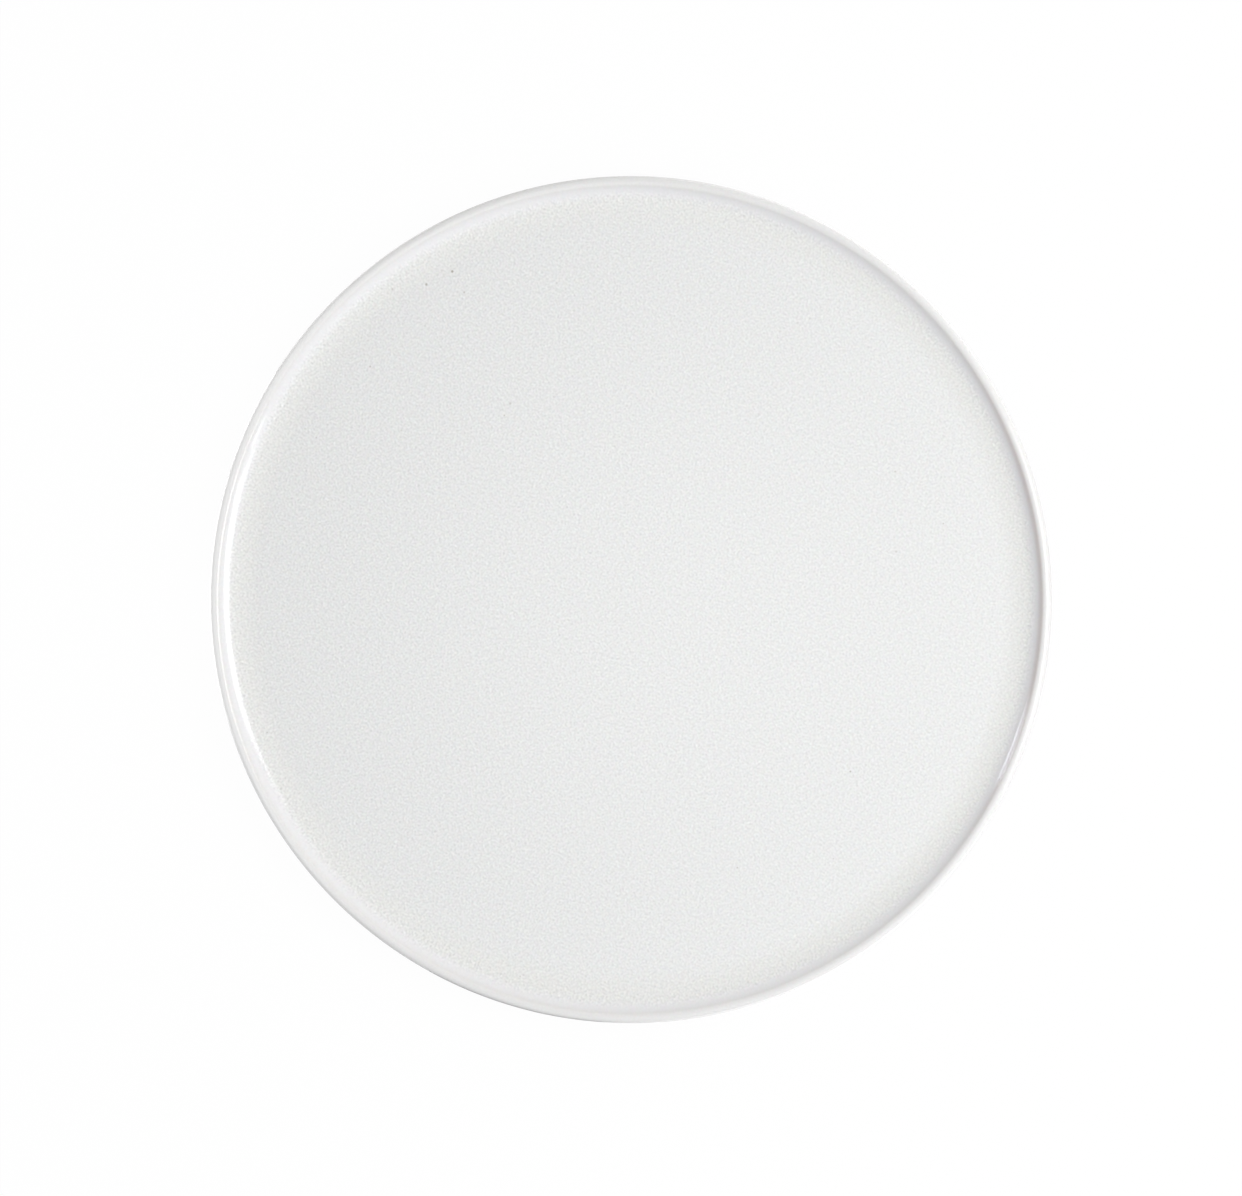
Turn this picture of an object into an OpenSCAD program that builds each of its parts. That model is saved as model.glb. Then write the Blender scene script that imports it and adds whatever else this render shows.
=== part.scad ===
// Charger plate: a wide flat coupe of fired clay with a low upturned rim, a rounded lip and a bare foot
// ring, coated in white glaze. Every piece is a full turn of one cross-section, in millimetres.
// The table is z = 0 and the plate's axis is the z axis.

/* [Plate] */
// Overall diameter across the lip
plate_d = 320; // [290:1:350]
// Height of the flat eating face above the table
floor_h = 9.8; // [9:0.1:11]
// Thickness of the glaze coats
glaze_t = 0.4; // [0.25:0.05:0.55]

/* [Rim] */
// Width of the rising rim, from the edge of the flat floor to the outline
rim_w = 17.8; // [17:0.2:22]
// Radius of the gentle sweep that starts the rise
sweep_r = 42; // [34:1:46]
// Slope in degrees where the gentle sweep passes into the tighter cove
sweep_a = 12; // [9:1:13]
// Steepest slope in degrees, just inside the lip
rim_a = 50; // [46:1:58]
// Rounding radius of the lip
lip_r = 2.2; // [1.9:0.1:2.5]
// Slope in degrees of the outer wall just under the lip
back_a = 65; // [60:1:70]
// Slope in degrees of the underside between the foot ring and the rim
base_a = 2.5; // [1.5:0.5:3]

/* [Foot ring] */
// Outer diameter of the bare foot ring
foot_d = 216; // [180:2:240]
// Width of the bare foot ring
foot_w = 7; // [5.5:0.5:9]
// Height of the underside above the table just outside the foot ring
foot_h = 4; // [3.6:0.1:4.4]
// Height of the recess inside the foot ring
recess_h = 3.6; // [3.2:0.1:3.9]
// Radius of the coves where the foot ring's walls meet the underside
foot_cove_r = 1.8; // [1.2:0.1:1.9]
// Rounding radius of the foot ring's two bearing edges
foot_edge_r = 0.6; // [0.3:0.1:0.7]
// Height up to which the glaze is wiped off the foot ring
wipe_h = 1; // [0.8:0.1:1.2]

/* [Hidden] */
// Greatest distance in millimetres between a curve and the short chords that draw it
chord_gap = 0.002;
// Smoothness of the full turn
$fn = 180;

// Radius of the outline
plate_r = plate_d / 2;
// Radius of the flat floor
floor_r = plate_r - rim_w;

// Centre of the gentle sweep
sweep_c = [floor_r, floor_h + sweep_r];
// Point and slope direction where the sweep passes into the cove
sweep_n = [sin(sweep_a), -cos(sweep_a)];
// Radius at which the steepest slope is reached, so that the lip ends exactly on the outline
steep_r = plate_r - lip_r * (1 + sin(rim_a));
// Radius of the cove that fits between the sweep and the lip
cove_r = (steep_r - floor_r - sweep_r * sin(sweep_a)) / (sin(rim_a) - sin(sweep_a));
// Centre of the cove
cove_c = sweep_c + (sweep_r - cove_r) * sweep_n;
// Centre of the lip's rounding
lip_c = cove_c + (cove_r + lip_r) * [sin(rim_a), -cos(rim_a)];
// Height of the lip's crest above the table
crest_h = lip_c[1] + lip_r;

// Outward directions at the two ends of the outer wall's curve
back_n0 = [cos(back_a - 90), sin(back_a - 90)];
back_n1 = [cos(base_a - 90), sin(base_a - 90)];
// Point where the lip's rounding passes into the outer wall
back_p = lip_c + lip_r * back_n0;
// Radius of the foot ring's glazed outer wall
foot_out = foot_d / 2 + glaze_t;
// Radius of the outer wall's curve, so that it runs into the sloping underside at the foot ring's height
back_r = (foot_h - back_p[1] + (back_p[0] - foot_out) * tan(base_a))
    / (back_n1[1] - back_n0[1] - (back_n1[0] - back_n0[0]) * tan(base_a));
// Centre of the outer wall's curve
back_c = back_p - back_r * back_n0;
// Centre of the cove outside the foot ring
foot_cove_c = [
    foot_out + foot_cove_r,
    foot_h + foot_cove_r * tan(base_a) - foot_cove_r / cos(base_a)
];

// Radius of the foot ring's inner wall in bare clay
foot_in = foot_d / 2 - foot_w;
// Centre of the cove inside the foot ring
recess_cove_c = [foot_in - glaze_t - foot_cove_r, recess_h - foot_cove_r];

// Every piece by name
// The piece to draw, or all of them

// Points of an arc about c from angle a0 to angle a1
function arc(c, r, a0, a1) =
    let (n = max(2, ceil(abs(a1 - a0) / (2 * acos(1 - chord_gap / r)))))
    [for (i = [0 : n]) c + r * [cos(a0 + (a1 - a0) * i / n), sin(a0 + (a1 - a0) * i / n)]];

// The same points from the other end
function reversed(list) = [for (i = [len(list) - 1 : -1 : 0]) list[i]];

// Section of the eating face from the axis to the lip's crest, d below the glaze's surface
function face_line(d) = concat(
    [[0, floor_h - d]],
    arc(sweep_c, sweep_r + d, -90, sweep_a - 90),
    arc(cove_c, cove_r + d, sweep_a - 90, rim_a - 90),
    arc(lip_c, lip_r - d, 90 + rim_a, 90)
);

// Section from the lip's crest round the outside and under to the wiped edge, d below the glaze's surface
function underside_line(d) = concat(
    arc(lip_c, lip_r - d, 90, back_a - 90),
    arc(back_c, back_r - d, back_a - 90, base_a - 90),
    arc(foot_cove_c, foot_cove_r + d, 90 + base_a, 180),
    [[foot_out - d, wipe_h]]
);

// Section of the recess from the wiped edge inside the foot ring to the axis, d below the glaze's surface
function recess_line(d) = concat(
    [[foot_in - glaze_t + d, wipe_h]],
    arc(recess_cove_c, foot_cove_r + d, 0, 90),
    [[0, recess_h + d]]
);

// Section of the bare foot ring's bearing edges and flat, from the outer wall to the inner one
function foot_line() = concat(
    arc([foot_d / 2 - foot_edge_r, foot_edge_r], foot_edge_r, 0, -90),
    arc([foot_in + foot_edge_r, foot_edge_r], foot_edge_r, -90, -180)
);

// A coat of glaze between its surface and the clay under it
module coat(surface, bed) {
    rotate_extrude()
        polygon(concat(surface, reversed(bed)));
}

// Fired clay: floor, rim, lip and foot ring in one
module clay_body() {
    color([0.80, 0.74, 0.66])
        rotate_extrude()
            polygon(concat(
                face_line(glaze_t),
                underside_line(glaze_t),
                foot_line(),
                recess_line(glaze_t)
            ));
}

// White coat of the eating face, as far as the lip's crest
module face_glaze() {
    color([0.94, 0.94, 0.93])
        coat(face_line(0), face_line(glaze_t));
}

// White coat of the outside and underside, as far as the wiped foot ring
module underside_glaze() {
    color([0.92, 0.92, 0.90])
        coat(underside_line(0), underside_line(glaze_t));
}

// White coat of the recess inside the foot ring
module foot_well_glaze() {
    color([0.90, 0.90, 0.88])
        coat(recess_line(0), recess_line(glaze_t));
}

clay_body();
face_glaze();
underside_glaze();
foot_well_glaze();
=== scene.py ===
"""Charger plate: a wide flat plate of fired clay under a mottled white glaze, with its studio stage.

Every piece is turned from one cross-section, the same as the solid part has, in metres. The plate's axis
is Z and the table is z = 0.
"""

import math

import bmesh
import bpy
from bpy.props import FloatProperty, FloatVectorProperty, IntProperty, PointerProperty
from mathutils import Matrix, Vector


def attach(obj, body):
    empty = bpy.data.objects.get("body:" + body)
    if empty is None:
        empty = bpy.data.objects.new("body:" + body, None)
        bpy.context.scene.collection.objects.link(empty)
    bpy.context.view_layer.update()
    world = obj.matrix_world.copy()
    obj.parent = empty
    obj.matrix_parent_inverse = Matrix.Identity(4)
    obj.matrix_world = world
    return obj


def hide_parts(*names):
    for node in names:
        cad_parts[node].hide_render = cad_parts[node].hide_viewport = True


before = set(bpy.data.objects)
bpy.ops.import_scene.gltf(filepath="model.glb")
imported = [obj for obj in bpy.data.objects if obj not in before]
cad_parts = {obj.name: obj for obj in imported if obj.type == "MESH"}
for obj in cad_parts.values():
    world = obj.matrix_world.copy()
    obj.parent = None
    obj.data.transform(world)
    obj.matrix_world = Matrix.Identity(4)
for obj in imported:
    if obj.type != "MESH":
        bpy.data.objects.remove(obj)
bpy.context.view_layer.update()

bl_info = {
    "name": "Charger Plate",
    "version": (1, 0, 0),
    "blender": (4, 5, 0),
    "location": "3D View > Sidebar > Plate",
    "description": "Builds a glazed charger plate and the stage that it is shown on",
    "category": "Object",
}

# Iron specks in the face glaze: x, y and width in millimetres, and darkness from 0 to 1.
IRON_SPECKS = (
    (-66.5, 124.9, 1.0, 0.56),
    (-76.5, 120.1, 1.0, 0.42),
    (84.9, -64.6, 0.7, 0.36),
    (-98.2, 89.0, 0.8, 0.30),
    (-61.9, 116.9, 0.8, 0.30),
    (-89.6, 118.3, 0.9, 0.28),
    (102.1, 18.0, 0.9, 0.25),
    (-44.2, 74.5, 0.9, 0.27),
    (-46.5, 70.0, 0.7, 0.29),
    (42.3, -101.1, 0.7, 0.30),
    (119.7, 28.5, 0.7, 0.28),
    (101.7, 48.1, 0.8, 0.22),
    (-119.2, 62.0, 0.6, 0.24),
    (78.5, -97.4, 0.6, 0.24),
    (-40.3, -143.1, 0.7, 0.22),
    (-86.2, 64.5, 0.8, 0.22),
    (-138.2, -50.9, 0.6, 0.24),
)

# Soft light of the surroundings: azimuth and height in degrees, level, and colour.
SKY_LOBES = (
    (300.0, 52.0, 1.24, (0.990, 0.996, 1.014)),
    (135.0, 18.0, 0.79, (1.010, 1.000, 0.985)),
    (45.0, 18.0, 0.88, (1.010, 1.000, 0.985)),
    (240.0, 18.0, 0.31, (1.000, 1.000, 1.000)),
    (0.0, -90.0, 0.60, (1.000, 1.000, 1.000)),
)

# Light panels: name, level, azimuth and angle from the zenith in degrees, then distance, width and
# height in metres, and how far the panel's top and bottom edges climb for each metre of width.
LIGHT_PANELS = (
    ("soft_box", 4.8, -2.5, 44.0, 1.1, 0.67, 0.60, 0.72),
    ("side_strip", 4.3, -27.4, 64.5, 1.3, 0.10, 0.36, 0.0),
)

# A low bluish sail on the left whose reflection lights a short stretch of the right wall: level,
# colour, and corners in metres.
SAIL_LEVEL = 6.2
SAIL_COLOUR = (0.94, 0.99, 1.09)
SAIL_CORNERS = (
    (-0.803, 0.332, 0.226),
    (-0.823, 0.340, 0.002),
    (-0.877, 0.167, 0.002),
    (-0.836, 0.240, 0.226),
)

# Cards lying on the table beside the lip: name, level, azimuth in degrees, then the near and far end and
# half the width at each, in metres. The cloth is black.
TABLE_CARDS = (
    ("left_card", 2.8, 180.0, 0.166, 0.40, 0.05, 0.16),
    ("right_card", 0.68, 0.0, 0.166, 0.40, 0.05, 0.16),
    ("front_right_card", 1.6, 300.0, 0.166, 0.36, 0.088, 0.19),
    ("back_right_card", 1.7, 57.0, 0.166, 0.36, 0.10, 0.216),
    ("back_left_card", 1.6, 132.0, 0.166, 0.26, 0.044, 0.069),
    ("left_end_card", 2.3, 154.5, 0.166, 0.26, 0.021, 0.026),
    ("dark_cloth", 0.0, 254.0, 0.163, 0.24, 0.036, 0.06),
)
# Height of the cards over the table, in metres.
CARD_LIFT = 0.0005

# How tightly the surroundings' light gathers about each lobe.
LOBE_TIGHTNESS = 3.0

# Half the floor's side and the radius of the dome over it, in metres.
FLOOR_HALF = 6.0
DOME_RADIUS = 5.9
# Grey of the floor as it lights the plate, and as the camera and the reflections see it.
FLOOR_BOUNCE = 0.60
FLOOR_SHOWN = 0.95
# Radii in metres between which the table's glow under the plate fades in.
TABLE_GLOW_FADE = (0.150, 0.110)

# The mottling's noise: waves across one spot, and the stretch of its value about the middle.
SPOT_WAVES = 0.9
SPOT_STRETCH = 3.5
# Share of each cell's own colour in the mottling's tint, and the plain white that it is mixed into.
CELL_TINT = 0.02
TINT_WHITE = (1.01, 1.01, 1.01, 1.0)
# Where the mottling changes in strength: from and to, in shares of the outline's radius, and by how much.
MOTTLE_CHANGES = (
    (0.920, 0.945, 0.22),
    (0.952, 0.968, -1.02),
)
# Height of the mottling in metres, then the glaze's index of refraction, roughness, and its change with
# the mottling.
MOTTLE_RELIEF = 0.000008
GLAZE_INDEX = 1.56
GLAZE_ROUGHNESS = 0.11
ROUGHNESS_CHANGE = 0.06

# The bare clay: height of its grain in metres, lines of the turning tool in a metre and their height
# beside the grain's, roughness and how much the grain changes it, and how much the grain and the larger
# clouds change the colour.
CLAY_RELIEF = 0.00008
TOOL_LINES = 1400.0
TOOL_LINE_HEIGHT = 1.5
CLAY_ROUGHNESS = 0.82
GRAIN_ROUGHNESS_CHANGE = 0.2
GRAIN_COLOUR_CHANGE = 0.3
CLOUD_COLOUR_CHANGE = 0.08

# Where the lip gets painted light, whiter towards -X: along X and by radius, in shares of the outline's
# radius.
LIT_LIP_SIDE = (-0.5, -0.9)
LIT_LIP_EDGE = (0.982, 0.989)
# Painted shade on the lip's inner edge, darker and warmer, on the +X side that faces away from the soft
# box: along X, then the radius where the painted shade starts and where it ends, in shares of the outline's
# radius.
SHADE_EDGE_SIDE = (0.72, 0.98)
SHADE_EDGE_START = (0.966, 0.9745)
SHADE_EDGE_END = (0.977, 0.9825)

# Section points nearer to the axis than this, in metres, are turned into a single point.
AXIS_GAP = 1e-7


def length(label, description, default):
    """A size property in metres."""
    return FloatProperty(name=label, description=description, default=default, unit="LENGTH", precision=5)


def slope(label, description, degrees):
    """A slope property, kept in radians."""
    return FloatProperty(
        name=label, description=description, default=math.radians(degrees), subtype="ANGLE"
    )


def colour(label, description, default):
    """A colour property in linear red, green and blue."""
    return FloatVectorProperty(
        name=label, description=description, default=default, subtype="COLOR", size=3, min=0.0, max=1.0
    )


class PlateSizes(bpy.types.PropertyGroup):
    """Sizes of the plate's cross-section"""

    plate_diameter: length("Plate diameter", "Overall diameter across the lip", 0.320)
    floor_height: length("Floor height", "Height of the flat eating face above the table", 0.0098)
    glaze_thickness: length("Glaze thickness", "Thickness of the glaze coats", 0.0004)
    rim_width: length("Rim width", "Width of the rising rim, from the flat floor to the outline", 0.0178)
    sweep_radius: length("Sweep radius", "Radius of the gentle sweep that starts the rise", 0.042)
    sweep_slope: slope("Sweep slope", "Slope where the gentle sweep passes into the cove", 12.0)
    rim_slope: slope("Rim slope", "Steepest slope, just inside the lip", 50.0)
    lip_radius: length("Lip radius", "Rounding radius of the lip", 0.0022)
    back_slope: slope("Back slope", "Slope of the outer wall just under the lip", 65.0)
    base_slope: slope("Base slope", "Slope of the underside between the foot ring and the rim", 2.5)
    foot_diameter: length("Foot diameter", "Outer diameter of the bare foot ring", 0.216)
    foot_width: length("Foot width", "Width of the bare foot ring", 0.007)
    foot_height: length("Foot height", "Height of the underside just outside the foot ring", 0.004)
    recess_height: length("Recess height", "Height of the recess inside the foot ring", 0.0036)
    foot_cove_radius: length("Foot cove radius", "Radius of the coves beside the foot ring", 0.0018)
    foot_edge_radius: length("Foot edge radius", "Rounding of the foot ring's bearing edges", 0.0006)
    wipe_height: length("Wipe height", "Height up to which the foot ring is wiped bare", 0.001)
    turn_segments: IntProperty(
        name="Turn segments", description="Steps in the full turn", default=384, min=48
    )


class GlazeFinish(bpy.types.PropertyGroup):
    """Colours and strengths of the glaze and the clay"""

    glaze_white: colour(
        "Glaze white", "Colour of the glaze in the middle of the floor", (0.855, 0.862, 0.854)
    )
    edge_white: colour(
        "Edge white", "Colour of the glaze near the edge of the floor", (0.829, 0.836, 0.829)
    )
    pooled_tint: colour(
        "Pooled tint", "Colour of the glaze where it lies thicker at the foot of the rim",
        (0.826, 0.830, 0.811),
    )
    # Partly painted reflection: the wall's glaze colour with a faint painted bluish sheen.
    wall_white_and_sheen: colour(
        "Wall white", "Colour of the glaze on the rim's steep inside", (0.855, 0.853, 0.859)
    )
    break_tint: colour(
        "Break tint", "Colour where the glaze thins over an edge and warm clay shows through",
        (0.826, 0.818, 0.806),
    )
    lip_white: colour("Lip white", "Colour of the glaze on the outside of the lip", (0.818, 0.815, 0.808))
    # Painted light: whitens the lip's outside towards -X.
    painted_light_white: colour(
        "Roll white", "Colour of the lip's outside where the glaze has run into a thicker roll",
        (0.955, 0.955, 0.950),
    )
    # Painted shade: darkens and warms the lip's inner edge on the +X side, away from the soft box.
    painted_shade_edge: colour(
        "Thin edge", "Shade of the lip's inner edge on the side where the glaze is thinnest",
        (0.92, 0.87, 0.862),
    )
    back_white: colour("Back white", "Colour of the glaze under the plate", (0.835, 0.836, 0.822))
    speck_brown: colour("Speck brown", "Colour of the iron specks in the glaze", (0.15, 0.095, 0.015))
    clay_buff: colour("Clay buff", "Colour of the bare fired clay", (0.60, 0.50, 0.38))
    clay_iron: colour("Clay iron", "Colour of the iron flecks in the bare clay", (0.20, 0.13, 0.08))
    mottle: FloatProperty(
        name="Mottle", description="Strength of the fine mottling", default=0.0855, min=0.0
    )
    # Painted shade of the relief: the mottling grows stronger towards -X, where the soft box's light grazes
    # the glaze.
    mottle_shade_lean: FloatProperty(
        name="Mottle lean", description="How much stronger the mottling is for each metre towards -X",
        default=1.0,
    )
    mottle_width: length("Mottle width", "Width of one spot of the mottling", 0.00143)


class StudioSettings(bpy.types.PropertyGroup):
    """Camera and lights"""

    lens: FloatProperty(name="Lens", description="Focal length", default=100.0, unit="CAMERA")
    camera_distance: length(
        "Camera distance", "Distance from the camera to the middle of the plate", 1.3037
    )
    camera_tilt: slope("Camera tilt", "Lean of the view from straight down towards +X", 6.5)
    aim_x: length("Aim X", "How far from the plate's axis, along X, the camera aims", -0.00155)
    aim_y: length("Aim Y", "How far from the plate's axis, along Y, the camera aims", 0.0006)
    light_level: FloatProperty(
        name="Light level", description="Brightness of the surroundings, panels, sail and cards",
        default=1.0, min=0.0,
    )
    floor_glow: FloatProperty(
        name="Floor glow", description="Share of plain white in the floor as the camera sees it",
        default=0.97, min=0.0, max=1.0,
    )
    table_glow: FloatProperty(
        name="Table glow", description="Light that the table gives to the plate's underside",
        default=0.35, min=0.0, max=1.0,
    )


def new_object(name, data):
    """Links a mesh or a camera to the scene under that name."""
    made = bpy.data.objects.new(name, data)
    bpy.context.scene.collection.objects.link(made)
    return made


class PlateSection:
    """The plate's cross-section as tangent arcs, in metres, as (radius, height) points."""

    def __init__(self, sizes):
        self.sizes = sizes
        outline = sizes.plate_diameter / 2
        floor_radius = outline - sizes.rim_width
        sweep, rim, back, base = sizes.sweep_slope, sizes.rim_slope, sizes.back_slope, sizes.base_slope
        self.outline = outline
        self.floor_radius = floor_radius
        self.sweep_centre = Vector((floor_radius, sizes.floor_height + sizes.sweep_radius))
        steep_radius = outline - sizes.lip_radius * (1 + math.sin(rim))
        run = steep_radius - floor_radius - sizes.sweep_radius * math.sin(sweep)
        self.cove_radius = run / (math.sin(rim) - math.sin(sweep))
        toward_cove = Vector((math.sin(sweep), -math.cos(sweep)))
        self.cove_centre = self.sweep_centre + (sizes.sweep_radius - self.cove_radius) * toward_cove
        toward_lip = Vector((math.sin(rim), -math.cos(rim)))
        self.lip_centre = self.cove_centre + (self.cove_radius + sizes.lip_radius) * toward_lip
        wall_top = Vector((math.sin(back), -math.cos(back)))
        wall_foot = Vector((math.sin(base), -math.cos(base)))
        wall_start = self.lip_centre + sizes.lip_radius * wall_top
        self.foot_out = sizes.foot_diameter / 2 + sizes.glaze_thickness
        drop = sizes.foot_height - wall_start.y + (wall_start.x - self.foot_out) * math.tan(base)
        turn = wall_foot - wall_top
        self.back_radius = drop / (turn.y - turn.x * math.tan(base))
        self.back_centre = wall_start - self.back_radius * wall_top
        cove = sizes.foot_cove_radius
        self.foot_cove_centre = Vector(
            (self.foot_out + cove, sizes.foot_height + cove * math.tan(base) - cove / math.cos(base))
        )
        self.foot_in = sizes.foot_diameter / 2 - sizes.foot_width
        self.recess_cove_centre = Vector(
            (self.foot_in - sizes.glaze_thickness - cove, sizes.recess_height - cove)
        )

    @staticmethod
    def arc(centre, radius, start, end, step=math.radians(2.5), least=6):
        """Points along an arc from one angle to another."""
        count = max(least, math.ceil(abs(end - start) / step))
        angles = [start + (end - start) * i / count for i in range(count + 1)]
        return [centre + radius * Vector((math.cos(a), math.sin(a))) for a in angles]

    def face_line(self, depth):
        """From the axis to the lip's crest, at that depth under the glaze's surface."""
        s = self.sizes
        down, up = -math.pi / 2, math.pi / 2
        rise, steep = down + s.sweep_slope, down + s.rim_slope
        rings = [Vector((self.floor_radius * i / 12, s.floor_height - depth)) for i in range(12)]
        return (
            rings
            + self.arc(self.sweep_centre, s.sweep_radius + depth, down, rise, math.radians(1))
            + self.arc(self.cove_centre, self.cove_radius + depth, rise, steep)[1:]
            + self.arc(self.lip_centre, s.lip_radius - depth, up + s.rim_slope, up, math.radians(4))[1:]
        )

    def underside_line(self, depth):
        """From the lip's crest round the outside to the wiped edge of the foot ring."""
        s = self.sizes
        down, up = -math.pi / 2, math.pi / 2
        back, base = down + s.back_slope, down + s.base_slope
        cove = s.foot_cove_radius + depth
        return (
            self.arc(self.lip_centre, s.lip_radius - depth, up, back, math.radians(4))
            + self.arc(self.back_centre, self.back_radius - depth, back, base)[1:]
            + self.arc(self.foot_cove_centre, cove, up + s.base_slope, math.pi, math.radians(6))
            + [Vector((self.foot_out - depth, s.wipe_height))]
        )

    def recess_line(self, depth):
        """From the wiped edge inside the foot ring to the axis."""
        s = self.sizes
        edge = Vector((self.foot_in - s.glaze_thickness + depth, s.wipe_height))
        radius = s.foot_cove_radius + depth
        cove = self.arc(self.recess_cove_centre, radius, 0.0, math.pi / 2, math.radians(6))
        ceiling = s.recess_height + depth
        rings = [Vector((self.recess_cove_centre.x * (1 - i / 8), ceiling)) for i in range(1, 9)]
        return [edge] + cove + rings

    def foot_line(self):
        """The bare foot ring's two bearing edges and the flat between them."""
        s = self.sizes
        edge = s.foot_edge_radius
        outer = Vector((s.foot_diameter / 2 - edge, edge))
        inner = Vector((self.foot_in + edge, edge))
        down = -math.pi / 2
        return (
            self.arc(outer, edge, 0.0, down, math.radians(10))
            + self.arc(inner, edge, down, -math.pi, math.radians(10))
        )


def lathe(name, section, segments):
    """Turns a closed section about the Z axis into a smooth closed mesh object."""
    shape = bmesh.new()
    turns = [2 * math.pi * i / segments for i in range(segments)]
    rings = []
    for radius, height in section:
        if radius < AXIS_GAP:
            rings.append([shape.verts.new((0.0, 0.0, height))])
        else:
            places = [(radius * math.cos(a), radius * math.sin(a), height) for a in turns]
            rings.append([shape.verts.new(place) for place in places])
    for here, there in zip(rings, rings[1:] + rings[:1]):
        if len(here) == 1 and len(there) == 1:
            continue
        for i in range(segments):
            k = (i + 1) % segments
            corners = []
            for ring, step in ((here, i), (here, k), (there, k), (there, i)):
                vert = ring[step % len(ring)]
                if vert not in corners:
                    corners.append(vert)
            shape.faces.new(corners)
    bmesh.ops.recalc_face_normals(shape, faces=shape.faces)
    mesh = bpy.data.meshes.new(name)
    shape.to_mesh(mesh)
    shape.free()
    mesh.shade_smooth()
    mesh.set_sharp_from_angle(angle=math.radians(45))
    return new_object(name, mesh)


def dress(piece, material, node):
    """Gives a piece its finish and puts it in the place of its solid."""
    piece.data.materials.append(material)
    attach(piece, "root")
    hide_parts(node)


def add_node(tree, kind, **settings):
    """A new node in the next place of a grid."""
    node = tree.nodes.new(kind)
    node.location = (180 * (len(tree.nodes) % 12), -220 * (len(tree.nodes) // 12))
    for key, value in settings.items():
        setattr(node, key, value)
    return node


def fill(tree, socket, value):
    """Links a socket into an input, or writes a plain value on it."""
    if isinstance(value, bpy.types.NodeSocket):
        tree.links.new(value, socket)
    else:
        socket.default_value = value


def calc(tree, operation, *terms, clamp=False):
    """One math node's result."""
    node = add_node(tree, "ShaderNodeMath", operation=operation, use_clamp=clamp)
    for socket, value in zip(node.inputs, terms):
        fill(tree, socket, value)
    return node.outputs[0]


def between(tree, value, low, high):
    """0 at low, 1 at high, easing in and out."""
    node = add_node(tree, "ShaderNodeMapRange", interpolation_type="SMOOTHSTEP")
    fill(tree, node.inputs["Value"], value)
    fill(tree, node.inputs["From Min"], low)
    fill(tree, node.inputs["From Max"], high)
    return node.outputs["Result"]


def blend_colours(tree, share, first, second, mode="MIX"):
    """A mix of two colours."""
    node = add_node(tree, "ShaderNodeMix", data_type="RGBA", blend_type=mode)
    fill(tree, node.inputs["Factor"], share)
    fill(tree, node.inputs["A"], first)
    fill(tree, node.inputs["B"], second)
    return next(s for s in node.outputs if s.type == "RGBA")


def blend_values(tree, share, first, second):
    """A mix of two plain values."""
    node = add_node(tree, "ShaderNodeMix", data_type="FLOAT")
    fill(tree, node.inputs["Factor"], share)
    fill(tree, node.inputs["A"], first)
    fill(tree, node.inputs["B"], second)
    return node.outputs["Result"]


def rgba(value):
    """A colour with full alpha."""
    return (value[0], value[1], value[2], 1.0)


def new_group(name, inputs, outputs):
    """An empty shader node group with named sockets: returns the tree, its input node and output node."""
    tree = bpy.data.node_groups.new(name, "ShaderNodeTree")
    for label, kind, default in inputs:
        socket = tree.interface.new_socket(name=label, in_out="INPUT", socket_type=kind)
        socket.default_value = default
    for label, kind in outputs:
        tree.interface.new_socket(name=label, in_out="OUTPUT", socket_type=kind)
    return tree, add_node(tree, "NodeGroupInput"), add_node(tree, "NodeGroupOutput")


def mottle_group():
    """Fine bright and dull spots of even size: a value about 0, a height, and a faint tint by cells."""
    name = "Fine Mottle"
    if name in bpy.data.node_groups:
        return bpy.data.node_groups[name]
    tree, given, result = new_group(
        name,
        [("Cell Width", "NodeSocketFloat", 0.00143), ("Seed", "NodeSocketFloat", 0.0)],
        [("Value", "NodeSocketFloat"), ("Height", "NodeSocketFloat"), ("Tint", "NodeSocketColor")],
    )
    place = add_node(tree, "ShaderNodeTexCoord").outputs["Object"]
    turned = add_node(tree, "ShaderNodeVectorRotate", rotation_type="Z_AXIS")
    fill(tree, turned.inputs["Vector"], place)
    fill(tree, turned.inputs["Angle"], calc(tree, "ADD", given.outputs["Seed"], 0.5))
    scale = calc(tree, "DIVIDE", 1.0, given.outputs["Cell Width"])
    spots = add_node(tree, "ShaderNodeTexGabor", gabor_type="2D")
    fill(tree, spots.inputs["Vector"], turned.outputs["Vector"])
    fill(tree, spots.inputs["Scale"], scale)
    fill(tree, spots.inputs["Frequency"], SPOT_WAVES)
    fill(tree, spots.inputs["Anisotropy"], 0.0)
    cells = add_node(tree, "ShaderNodeTexVoronoi", voronoi_dimensions="2D")
    fill(tree, cells.inputs["Vector"], turned.outputs["Vector"])
    fill(tree, cells.inputs["Scale"], scale)
    value = calc(tree, "MULTIPLY_ADD", spots.outputs["Value"], SPOT_STRETCH, -SPOT_STRETCH / 2)
    fill(tree, result.inputs["Value"], value)
    fill(tree, result.inputs["Height"], calc(tree, "ADD", value, 1.0))
    tint = blend_colours(tree, CELL_TINT, TINT_WHITE, cells.outputs["Color"])
    fill(tree, result.inputs["Tint"], tint)
    return tree


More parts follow.
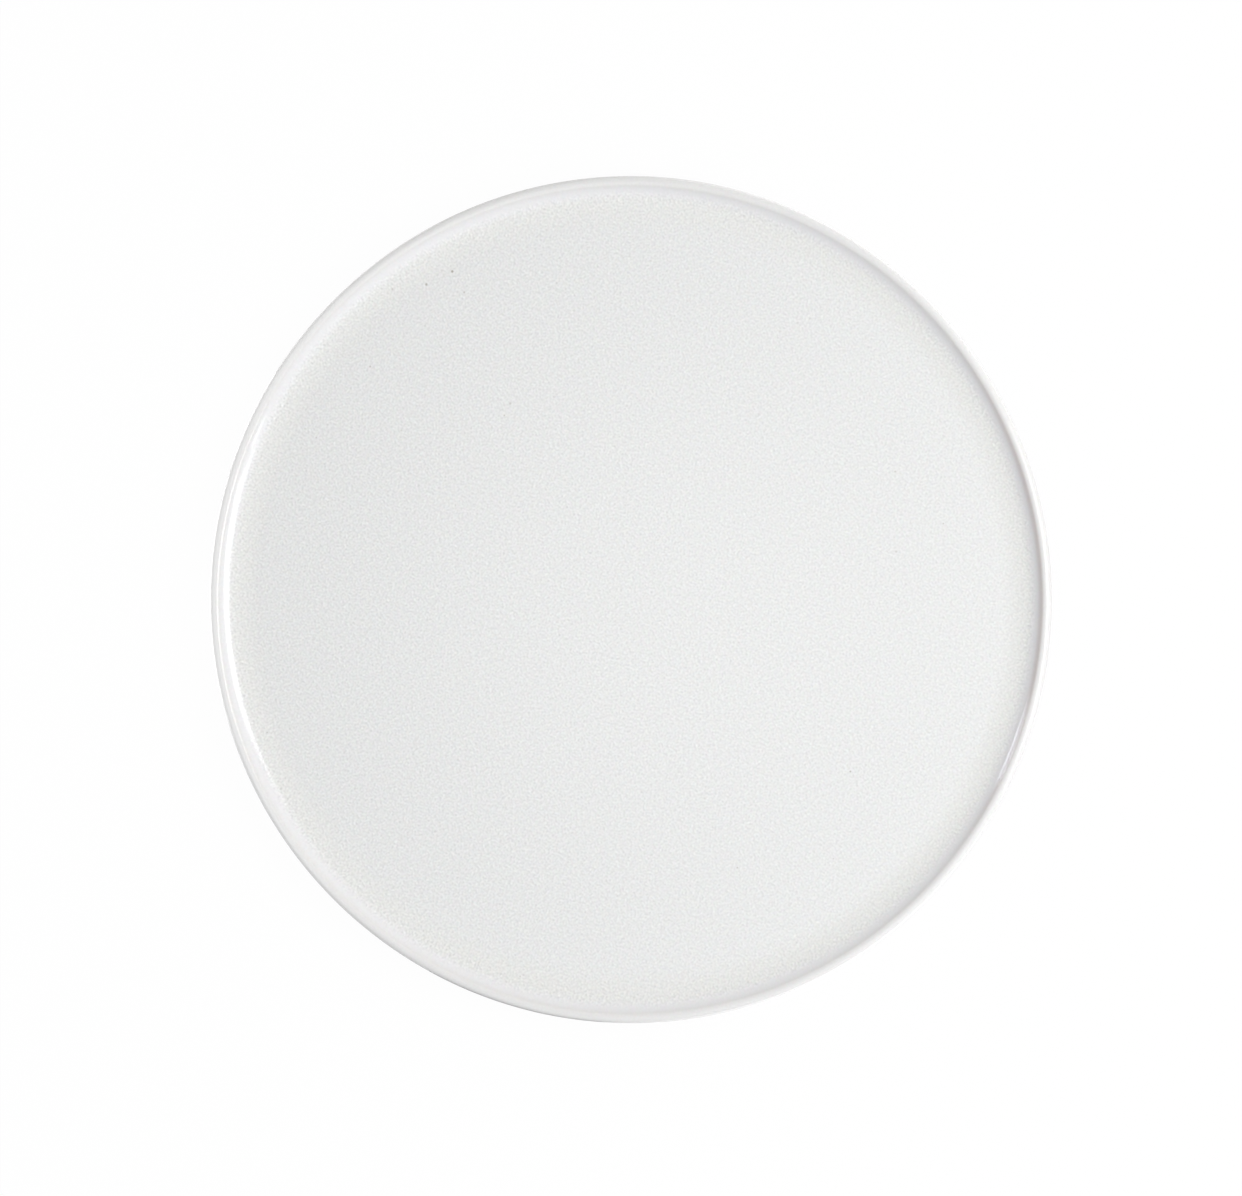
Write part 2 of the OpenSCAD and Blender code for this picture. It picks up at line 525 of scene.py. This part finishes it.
def fleck_group():
    """Sparse round flecks strewn over a level surface, as a mask."""
    name = "Strewn Flecks"
    if name in bpy.data.node_groups:
        return bpy.data.node_groups[name]
    tree, given, result = new_group(
        name,
        [
            ("Spacing", "NodeSocketFloat", 0.006),
            ("Width", "NodeSocketFloat", 0.0006),
            ("Share", "NodeSocketFloat", 0.3),
        ],
        [("Mask", "NodeSocketFloat")],
    )
    place = add_node(tree, "ShaderNodeTexCoord").outputs["Object"]
    cells = add_node(tree, "ShaderNodeTexVoronoi", voronoi_dimensions="2D")
    fill(tree, cells.inputs["Vector"], place)
    fill(tree, cells.inputs["Scale"], calc(tree, "DIVIDE", 1.0, given.outputs["Spacing"]))
    gap = calc(tree, "MULTIPLY", cells.outputs["Distance"], given.outputs["Spacing"])
    radius = calc(tree, "MULTIPLY", given.outputs["Width"], 0.5)
    spot = between(tree, gap, radius, calc(tree, "MULTIPLY", radius, 0.3))
    draw = add_node(tree, "ShaderNodeSeparateColor")
    fill(tree, draw.inputs["Color"], cells.outputs["Color"])
    chosen = calc(tree, "LESS_THAN", draw.outputs["Red"], given.outputs["Share"])
    size = calc(tree, "MULTIPLY_ADD", draw.outputs["Green"], 0.7, 0.3)
    fill(tree, result.inputs["Mask"], calc(tree, "MULTIPLY", calc(tree, "MULTIPLY", spot, chosen), size))
    return tree


def speck_group():
    """The iron specks of the eating face, each a dark core in a faint halo, as one mask."""
    name = "Iron Specks"
    if name in bpy.data.node_groups:
        return bpy.data.node_groups[name]
    tree, given, result = new_group(
        name, [("Strength", "NodeSocketFloat", 1.0)], [("Mask", "NodeSocketFloat")]
    )
    place = add_node(tree, "ShaderNodeTexCoord").outputs["Object"]
    flat = add_node(tree, "ShaderNodeVectorMath", operation="MULTIPLY")
    fill(tree, flat.inputs[0], place)
    fill(tree, flat.inputs[1], (1000.0, 1000.0, 0.0))
    mask = 0.0
    for x, y, width, darkness in IRON_SPECKS:
        gap = add_node(tree, "ShaderNodeVectorMath", operation="DISTANCE")
        fill(tree, gap.inputs[0], flat.outputs["Vector"])
        fill(tree, gap.inputs[1], (x, y, 0.0))
        spot = between(tree, gap.outputs["Value"], 0.75 * width, 0.15 * width)
        mask = calc(tree, "MULTIPLY_ADD", spot, darkness, mask)
    fill(tree, result.inputs["Mask"], calc(tree, "MULTIPLY", mask, given.outputs["Strength"], clamp=True))
    return tree


def place_group(tree, group, **values):
    """Puts a node group in a tree with its own values."""
    node = add_node(tree, "ShaderNodeGroup", node_tree=group)
    for label, value in values.items():
        fill(tree, node.inputs[label.replace("_", " ")], value)
    return node


def radius_of(tree):
    """Distance from the plate's axis, in metres."""
    place = add_node(tree, "ShaderNodeTexCoord").outputs["Object"]
    flat = add_node(tree, "ShaderNodeVectorMath", operation="MULTIPLY")
    fill(tree, flat.inputs[0], place)
    fill(tree, flat.inputs[1], (1.0, 1.0, 0.0))
    size = add_node(tree, "ShaderNodeVectorMath", operation="LENGTH")
    fill(tree, size.inputs[0], flat.outputs["Vector"])
    return size.outputs["Value"]


def along_x(tree):
    """Distance along X from the plate's axis, in metres."""
    node = add_node(tree, "ShaderNodeSeparateXYZ")
    fill(tree, node.inputs[0], add_node(tree, "ShaderNodeTexCoord").outputs["Object"])
    return node.outputs["X"]


def tint_by_radius(tree, share, stops):
    """A colour that changes with the share of the outline's radius, eased between the stops."""
    node = add_node(tree, "ShaderNodeValToRGB")
    ramp = node.color_ramp
    ramp.interpolation = "EASE"
    while len(ramp.elements) < len(stops):
        ramp.elements.new(0.5)
    for element, (place, tint) in zip(ramp.elements, stops):
        element.position = place
        element.color = rgba(tint)
    fill(tree, node.inputs["Fac"], share)
    return node.outputs["Color"]


def new_material(name):
    """A material with one Principled shader: returns it, its tree and the shader."""
    material = bpy.data.materials.new(name)
    material.use_nodes = True
    tree = material.node_tree
    return material, tree, tree.nodes["Principled BSDF"]


def scaled(tree, tint, factor):
    """A colour made brighter or darker by a factor."""
    node = add_node(tree, "ShaderNodeVectorMath", operation="SCALE")
    fill(tree, node.inputs[0], tint)
    fill(tree, node.inputs["Scale"], factor)
    return node.outputs["Vector"]


def bump_from(tree, shader, height, distance):
    """Raises a height on the shader's normal, in metres."""
    node = add_node(tree, "ShaderNodeBump")
    node.inputs["Strength"].default_value = 1.0
    node.inputs["Distance"].default_value = distance
    fill(tree, node.inputs["Height"], height)
    fill(tree, shader.inputs["Normal"], node.outputs["Normal"])


def glaze_material(name, finish, section, stops, seed):
    """White glaze, mottled and tinted by radius, without its base colour.

    Returns the material, its tree and shader, the colour, and the share of the outline's radius.
    """
    material, tree, shader = new_material(name)
    mottle = place_group(tree, mottle_group(), Cell_Width=finish.mottle_width, Seed=seed)
    share = calc(tree, "DIVIDE", radius_of(tree), section.outline)
    tint = tint_by_radius(tree, share, stops)
    lively = 1.0
    for start, end, gain in MOTTLE_CHANGES:
        lively = calc(tree, "MULTIPLY_ADD", between(tree, share, start, end), gain, lively)
    # Painted shade of the relief: stronger mottling towards -X.
    lean = calc(tree, "MULTIPLY_ADD", along_x(tree), -finish.mottle_shade_lean, 1.0)
    strength = calc(tree, "MULTIPLY", calc(tree, "MULTIPLY", lively, lean), finish.mottle)
    change = calc(tree, "MULTIPLY_ADD", mottle.outputs["Value"], strength, 1.0)
    grained = blend_colours(tree, 1.0, tint, mottle.outputs["Tint"], "MULTIPLY")
    shade = scaled(tree, grained, change)
    rough = calc(tree, "MULTIPLY_ADD", mottle.outputs["Value"], ROUGHNESS_CHANGE, GLAZE_ROUGHNESS)
    fill(tree, shader.inputs["Roughness"], rough)
    height = calc(tree, "MULTIPLY", mottle.outputs["Height"], lively)
    bump_from(tree, shader, height, MOTTLE_RELIEF)
    shader.inputs["IOR"].default_value = GLAZE_INDEX
    return material, tree, shader, shade, share


def painted_light_lip(tree, finish, section, share, shade):
    """The lip's colour with painted light, whiter towards -X."""
    start, end = LIT_LIP_SIDE
    side = between(tree, along_x(tree), start * section.outline, end * section.outline)
    # Mask of the painted light on the lip towards -X.
    roll = calc(tree, "MULTIPLY", side, between(tree, share, *LIT_LIP_EDGE))
    return blend_colours(tree, roll, shade, rgba(finish.painted_light_white))


def face_glaze_material(finish, section):
    """The eating face: brightest in the middle, olive where it pools, warm where it breaks, with specks,
    painted shade on the lip's inner edge towards +X and painted light on the lip towards -X.
    """
    stops = (
        (0.0, finish.glaze_white),
        (0.10, finish.glaze_white),
        (0.87, finish.edge_white),
        (0.93, finish.pooled_tint),
        (0.945, finish.pooled_tint),
        # The wall's colour carries a faint painted bluish reflection.
        (0.962, finish.wall_white_and_sheen),
        (0.970, finish.wall_white_and_sheen),
        (0.978, finish.break_tint),
        (0.986, finish.lip_white),
    )
    material, tree, shader, shade, share = glaze_material("White face glaze", finish, section, stops, 0.0)
    start, end = SHADE_EDGE_SIDE
    side = between(tree, along_x(tree), start * section.outline, end * section.outline)
    edge = calc(tree, "SUBTRACT", between(tree, share, *SHADE_EDGE_START), between(tree, share, *SHADE_EDGE_END))
    # Painted shade on the lip's inner edge towards +X, where the wall faces away from the soft box.
    thin = calc(tree, "MULTIPLY", side, edge)
    shade = blend_colours(tree, thin, shade, rgba(finish.painted_shade_edge), "MULTIPLY")
    # Painted light on the lip towards -X.
    shade = painted_light_lip(tree, finish, section, share, shade)
    specks = place_group(tree, speck_group(), Strength=1.0)
    spotted = blend_colours(tree, specks.outputs["Mask"], shade, rgba(finish.speck_brown))
    fill(tree, shader.inputs["Base Color"], spotted)
    return material


def back_glaze_material(finish, section):
    """The underside: creamier, thin and warm along the wiped foot ring, with strewn flecks and painted
    light on the lip towards -X.
    """
    ring_out = section.foot_out / section.outline
    ring_in = section.foot_in / section.outline
    stops = (
        (0.0, finish.back_white),
        (ring_in - 0.030, finish.back_white),
        (ring_in - 0.012, finish.pooled_tint),
        (ring_in - 0.003, finish.break_tint),
        (ring_out + 0.001, finish.break_tint),
        (ring_out + 0.010, finish.pooled_tint),
        (ring_out + 0.030, finish.back_white),
        (0.975, finish.back_white),
        (0.986, finish.lip_white),
    )
    material, tree, shader, shade, share = glaze_material("White back glaze", finish, section, stops, 7.0)
    # Painted light on the lip's outside towards -X.
    shade = painted_light_lip(tree, finish, section, share, shade)
    flecks = place_group(tree, fleck_group(), Spacing=0.016, Width=0.0008, Share=0.35)
    inside = calc(tree, "MULTIPLY", flecks.outputs["Mask"], between(tree, share, 0.945, 0.915))
    spotted = blend_colours(tree, inside, shade, rgba(finish.speck_brown))
    fill(tree, shader.inputs["Base Color"], spotted)
    return material


def clay_material(finish):
    """Bare fired clay of the foot ring: sandy grain, iron flecks and the lines of the turning tool."""
    material, tree, shader = new_material("Bare stoneware")
    grain = place_group(tree, mottle_group(), Cell_Width=0.0006, Seed=3.0)
    cloud = place_group(tree, mottle_group(), Cell_Width=0.012, Seed=5.0)
    flecks = place_group(tree, fleck_group(), Spacing=0.0035, Width=0.0006, Share=0.4)
    lines = add_node(tree, "ShaderNodeTexNoise", noise_dimensions="1D")
    fill(tree, lines.inputs["W"], radius_of(tree))
    fill(tree, lines.inputs["Scale"], TOOL_LINES)
    fill(tree, lines.inputs["Detail"], 2.0)
    change = calc(tree, "MULTIPLY_ADD", grain.outputs["Value"], GRAIN_COLOUR_CHANGE, 1.0)
    change = calc(tree, "MULTIPLY_ADD", cloud.outputs["Value"], CLOUD_COLOUR_CHANGE, change)
    shade = scaled(tree, finish.clay_buff, change)
    spotted = blend_colours(tree, flecks.outputs["Mask"], shade, rgba(finish.clay_iron))
    fill(tree, shader.inputs["Base Color"], spotted)
    rough = calc(tree, "MULTIPLY_ADD", grain.outputs["Value"], GRAIN_ROUGHNESS_CHANGE, CLAY_ROUGHNESS)
    fill(tree, shader.inputs["Roughness"], rough)
    height = calc(tree, "MULTIPLY_ADD", lines.outputs["Fac"], TOOL_LINE_HEIGHT, grain.outputs["Height"])
    bump_from(tree, shader, height, CLAY_RELIEF)
    return material


class PLATE_OT_clay_body(bpy.types.Operator):
    """Turns the fired clay body with its bare foot ring"""

    bl_idname = "plate.clay_body"
    bl_label = "Clay Body"

    def execute(self, context):
        sizes = context.scene.plate_sizes
        section = PlateSection(sizes)
        depth = sizes.glaze_thickness
        outline = (
            section.face_line(depth)
            + section.underside_line(depth)[1:]
            + section.foot_line()
            + section.recess_line(depth)
        )
        piece = lathe("clay_plate", outline, sizes.turn_segments)
        dress(piece, clay_material(context.scene.plate_finish), "clay_body")
        return {"FINISHED"}


class PLATE_OT_face_glaze(bpy.types.Operator):
    """Turns the white coat of the eating face"""

    bl_idname = "plate.face_glaze"
    bl_label = "Face Glaze"

    def execute(self, context):
        sizes = context.scene.plate_sizes
        section = PlateSection(sizes)
        outline = section.face_line(0.0) + section.face_line(sizes.glaze_thickness)[::-1]
        piece = lathe("face_glaze_coat", outline, sizes.turn_segments)
        material = face_glaze_material(context.scene.plate_finish, section)
        dress(piece, material, "face_glaze")
        return {"FINISHED"}


class PLATE_OT_back_glaze(bpy.types.Operator):
    """Turns the two white coats of the underside, outside and inside the foot ring"""

    bl_idname = "plate.back_glaze"
    bl_label = "Back Glaze"

    def execute(self, context):
        sizes = context.scene.plate_sizes
        section = PlateSection(sizes)
        depth = sizes.glaze_thickness
        material = back_glaze_material(context.scene.plate_finish, section)
        coats = (
            ("underside_glaze_coat", section.underside_line, "underside_glaze"),
            ("foot_well_glaze_coat", section.recess_line, "foot_well_glaze"),
        )
        for name, line, node in coats:
            piece = lathe(name, line(0.0) + line(depth)[::-1], sizes.turn_segments)
            dress(piece, material, node)
        return {"FINISHED"}


def clear_behind(tree, surface):
    """Shows a surface on a sheet's front and lets light through from its back."""
    clear = add_node(tree, "ShaderNodeBsdfTransparent")
    sides = add_node(tree, "ShaderNodeMixShader")
    fill(tree, sides.inputs[0], add_node(tree, "ShaderNodeNewGeometry").outputs["Backfacing"])
    tree.links.new(surface, sides.inputs[1])
    tree.links.new(clear.outputs[0], sides.inputs[2])
    tree.links.new(sides.outputs[0], tree.nodes["Material Output"].inputs["Surface"])


def floor_material(studio):
    """Pale floor, white to the camera: keeps the shadow, glows under the plate, is clear from below."""
    material, tree, shader = new_material("Pale floor")
    shader.inputs["Roughness"].default_value = 1.0
    shader.inputs["Specular IOR Level"].default_value = 0.0
    path = add_node(tree, "ShaderNodeLightPath")
    seen = calc(tree, "MAXIMUM", path.outputs["Is Camera Ray"], path.outputs["Is Glossy Ray"])
    seen = calc(tree, "MAXIMUM", seen, path.outputs["Is Transmission Ray"])
    bounce = rgba((FLOOR_BOUNCE,) * 3)
    shown = rgba((FLOOR_SHOWN,) * 3)
    fill(tree, shader.inputs["Base Color"], blend_colours(tree, seen, bounce, shown))
    glow = add_node(tree, "ShaderNodeEmission")
    lit = add_node(tree, "ShaderNodeMixShader")
    inside = between(tree, radius_of(tree), *TABLE_GLOW_FADE)
    under = calc(tree, "MULTIPLY", inside, studio.table_glow)
    fill(tree, lit.inputs[0], blend_values(tree, seen, under, studio.floor_glow))
    tree.links.new(shader.outputs[0], lit.inputs[1])
    tree.links.new(glow.outputs[0], lit.inputs[2])
    clear_behind(tree, lit.outputs[0])
    return material


def studio_floor(studio):
    """A wide level floor under the plate."""
    mesh = bpy.data.meshes.new("studio_floor")
    corners = [(x * FLOOR_HALF, y * FLOOR_HALF, 0.0) for x, y in ((-1, -1), (1, -1), (1, 1), (-1, 1))]
    mesh.from_pydata(corners, [], [(0, 1, 2, 3)])
    mesh.materials.append(floor_material(studio))
    new_object("studio_floor", mesh)


def backdrop():
    """A white dome far around the plate that only the camera sees."""
    shape = bmesh.new()
    bmesh.ops.create_uvsphere(shape, u_segments=64, v_segments=32, radius=DOME_RADIUS)
    mesh = bpy.data.meshes.new("studio_backdrop")
    shape.to_mesh(mesh)
    shape.free()
    material, tree, shader = new_material("White backdrop")
    shader.inputs["Base Color"].default_value = (0.0, 0.0, 0.0, 1.0)
    shader.inputs["Specular IOR Level"].default_value = 0.0
    shader.inputs["Emission Color"].default_value = (1.0, 1.0, 1.0, 1.0)
    shader.inputs["Emission Strength"].default_value = 1.0
    mesh.materials.append(material)
    dome = new_object("studio_backdrop", mesh)
    dome.visible_diffuse = False
    dome.visible_glossy = False
    dome.visible_transmission = False
    dome.visible_shadow = False


def direction(azimuth, height):
    """Unit vector at an azimuth and a height above the table, both in degrees."""
    turn, rise = math.radians(azimuth), math.radians(height)
    return Vector((math.cos(rise) * math.cos(turn), math.cos(rise) * math.sin(turn), math.sin(rise)))


def studio_world(scene, level):
    """Soft pale surroundings, brighter towards each lobe."""
    world = bpy.data.worlds.new("Studio surroundings")
    world.use_nodes = True
    scene.world = world
    tree = world.node_tree
    place = add_node(tree, "ShaderNodeTexCoord").outputs["Generated"]
    light = None
    for azimuth, height, strength, tint in SKY_LOBES:
        facing = add_node(tree, "ShaderNodeVectorMath", operation="DOT_PRODUCT")
        fill(tree, facing.inputs[0], place)
        fill(tree, facing.inputs[1], direction(azimuth, height))
        soft = calc(tree, "POWER", calc(tree, "MAXIMUM", facing.outputs["Value"], 0.0), LOBE_TIGHTNESS)
        glow = scaled(tree, tint, calc(tree, "MULTIPLY", soft, strength * level))
        if light is None:
            light = glow
        else:
            both = add_node(tree, "ShaderNodeVectorMath", operation="ADD")
            fill(tree, both.inputs[0], light)
            fill(tree, both.inputs[1], glow)
            light = both.outputs["Vector"]
    fill(tree, tree.nodes["Background"].inputs["Color"], light)


def glowing_mesh(name, corners, level, tint=(1.0, 1.0, 1.0), one_sided=False):
    """A glowing four-cornered sheet, unseen by the camera, that may let light through from its back."""
    mesh = bpy.data.meshes.new(name)
    mesh.from_pydata(corners, [], [(0, 1, 2, 3)])
    material, tree, shader = new_material(name + "_glow")
    shader.inputs["Base Color"].default_value = (0.0, 0.0, 0.0, 1.0)
    shader.inputs["Specular IOR Level"].default_value = 0.0
    shader.inputs["Emission Color"].default_value = rgba(tint)
    shader.inputs["Emission Strength"].default_value = level
    if one_sided:
        clear_behind(tree, shader.outputs[0])
    mesh.materials.append(material)
    sheet = new_object(name, mesh)
    sheet.visible_camera = False
    sheet.visible_shadow = not one_sided
    return sheet


def shine_only_on(light, piece_name):
    """Keeps a light to one piece, as a flag beside the light would."""
    receivers = bpy.data.collections.new(light.name + "_receivers")
    receivers.objects.link(bpy.data.objects[piece_name])
    light.light_linking.receiver_collection = receivers


def light_panel(name, level, toward, distance, width, height, lean):
    """A glowing panel that faces the plate, with leaning top and bottom edges."""
    across = Vector((-toward.y, toward.x, 0.0)).normalized()
    upward = toward.cross(across)
    corners = []
    for side, end in ((-1, -1), (1, -1), (1, 1), (-1, 1)):
        climb = end * height / 2 + side * lean * width / 2
        corners.append(toward * distance + across * (side * width / 2) + upward * climb)
    glowing_mesh(name, corners, level)


def table_card(name, level, azimuth, near, far, near_half, far_half):
    """A card lying on the table, wider at its far end, that leaves the table under it lit."""
    toward = direction(azimuth, 0.0)
    across = Vector((-toward.y, toward.x, 0.0))
    lift = Vector((0.0, 0.0, CARD_LIFT))
    corners = []
    for end, half in ((near, -near_half), (far, -far_half), (far, far_half), (near, near_half)):
        corners.append(toward * end + across * half + lift)
    glowing_mesh(name, corners, level, one_sided=True)


def studio_camera(scene, studio):
    """The photo's view: from above, leaning a little towards +X."""
    section = PlateSection(scene.plate_sizes)
    tilt = studio.camera_tilt
    target = Vector((studio.aim_x, studio.aim_y, section.lip_centre.y))
    back = Vector((math.sin(tilt), 0.0, math.cos(tilt)))
    view = bpy.data.cameras.new("plate_camera")
    view.lens = studio.lens
    view.sensor_width = 36.0
    view.clip_start = 0.01
    view.clip_end = 20.0
    camera = new_object("plate_camera", view)
    camera.location = target + studio.camera_distance * back
    camera.rotation_euler = (0.0, tilt, 0.0)
    scene.camera = camera


class PLATE_OT_stage(bpy.types.Operator):
    """Sets up the pale floor, the studio light and the camera"""

    bl_idname = "plate.stage"
    bl_label = "Stage"

    def execute(self, context):
        scene = context.scene
        studio = scene.plate_studio
        scene.view_settings.view_transform = "Standard"
        studio_floor(studio)
        backdrop()
        studio_world(scene, studio.light_level)
        for name, level, azimuth, zenith, distance, width, height, lean in LIGHT_PANELS:
            toward = direction(azimuth, 90.0 - zenith)
            light_panel(name, level * studio.light_level, toward, distance, width, height, lean)
        sail = glowing_mesh("left_sail", SAIL_CORNERS, SAIL_LEVEL * studio.light_level, SAIL_COLOUR)
        shine_only_on(sail, "face_glaze_coat")
        for name, level, *shape in TABLE_CARDS:
            table_card(name, level * studio.light_level, *shape)
        studio_camera(scene, studio)
        return {"FINISHED"}


class PLATE_PT_sidebar(bpy.types.Panel):
    """Lists the plate's pieces and its stage"""

    bl_label = "Charger Plate"
    bl_idname = "PLATE_PT_sidebar"
    bl_space_type = "VIEW_3D"
    bl_region_type = "UI"
    bl_category = "Plate"

    def draw(self, context):
        column = self.layout.column()
        for operator in OPERATORS:
            column.operator(operator.bl_idname)
        for settings in (context.scene.plate_sizes, context.scene.plate_finish, context.scene.plate_studio):
            box = self.layout.box()
            for key in settings.__annotations__:
                box.prop(settings, key)


OPERATORS = (PLATE_OT_clay_body, PLATE_OT_face_glaze, PLATE_OT_back_glaze, PLATE_OT_stage)
SETTINGS = (
    ("plate_sizes", PlateSizes),
    ("plate_finish", GlazeFinish),
    ("plate_studio", StudioSettings),
)


def register():
    """Adds the settings, the operators and the panel."""
    for name, group in SETTINGS:
        bpy.utils.register_class(group)
        setattr(bpy.types.Scene, name, PointerProperty(type=group))
    for operator in OPERATORS:
        bpy.utils.register_class(operator)
    bpy.utils.register_class(PLATE_PT_sidebar)


def unregister():
    """Takes away what register added."""
    bpy.utils.unregister_class(PLATE_PT_sidebar)
    for operator in reversed(OPERATORS):
        bpy.utils.unregister_class(operator)
    for name, group in reversed(SETTINGS):
        delattr(bpy.types.Scene, name)
        bpy.utils.unregister_class(group)


def main():
    """Builds the plate and its stage."""
    register()
    bpy.ops.plate.clay_body()
    bpy.ops.plate.face_glaze()
    bpy.ops.plate.back_glaze()
    bpy.ops.plate.stage()


if __name__ == "__main__":
    main()
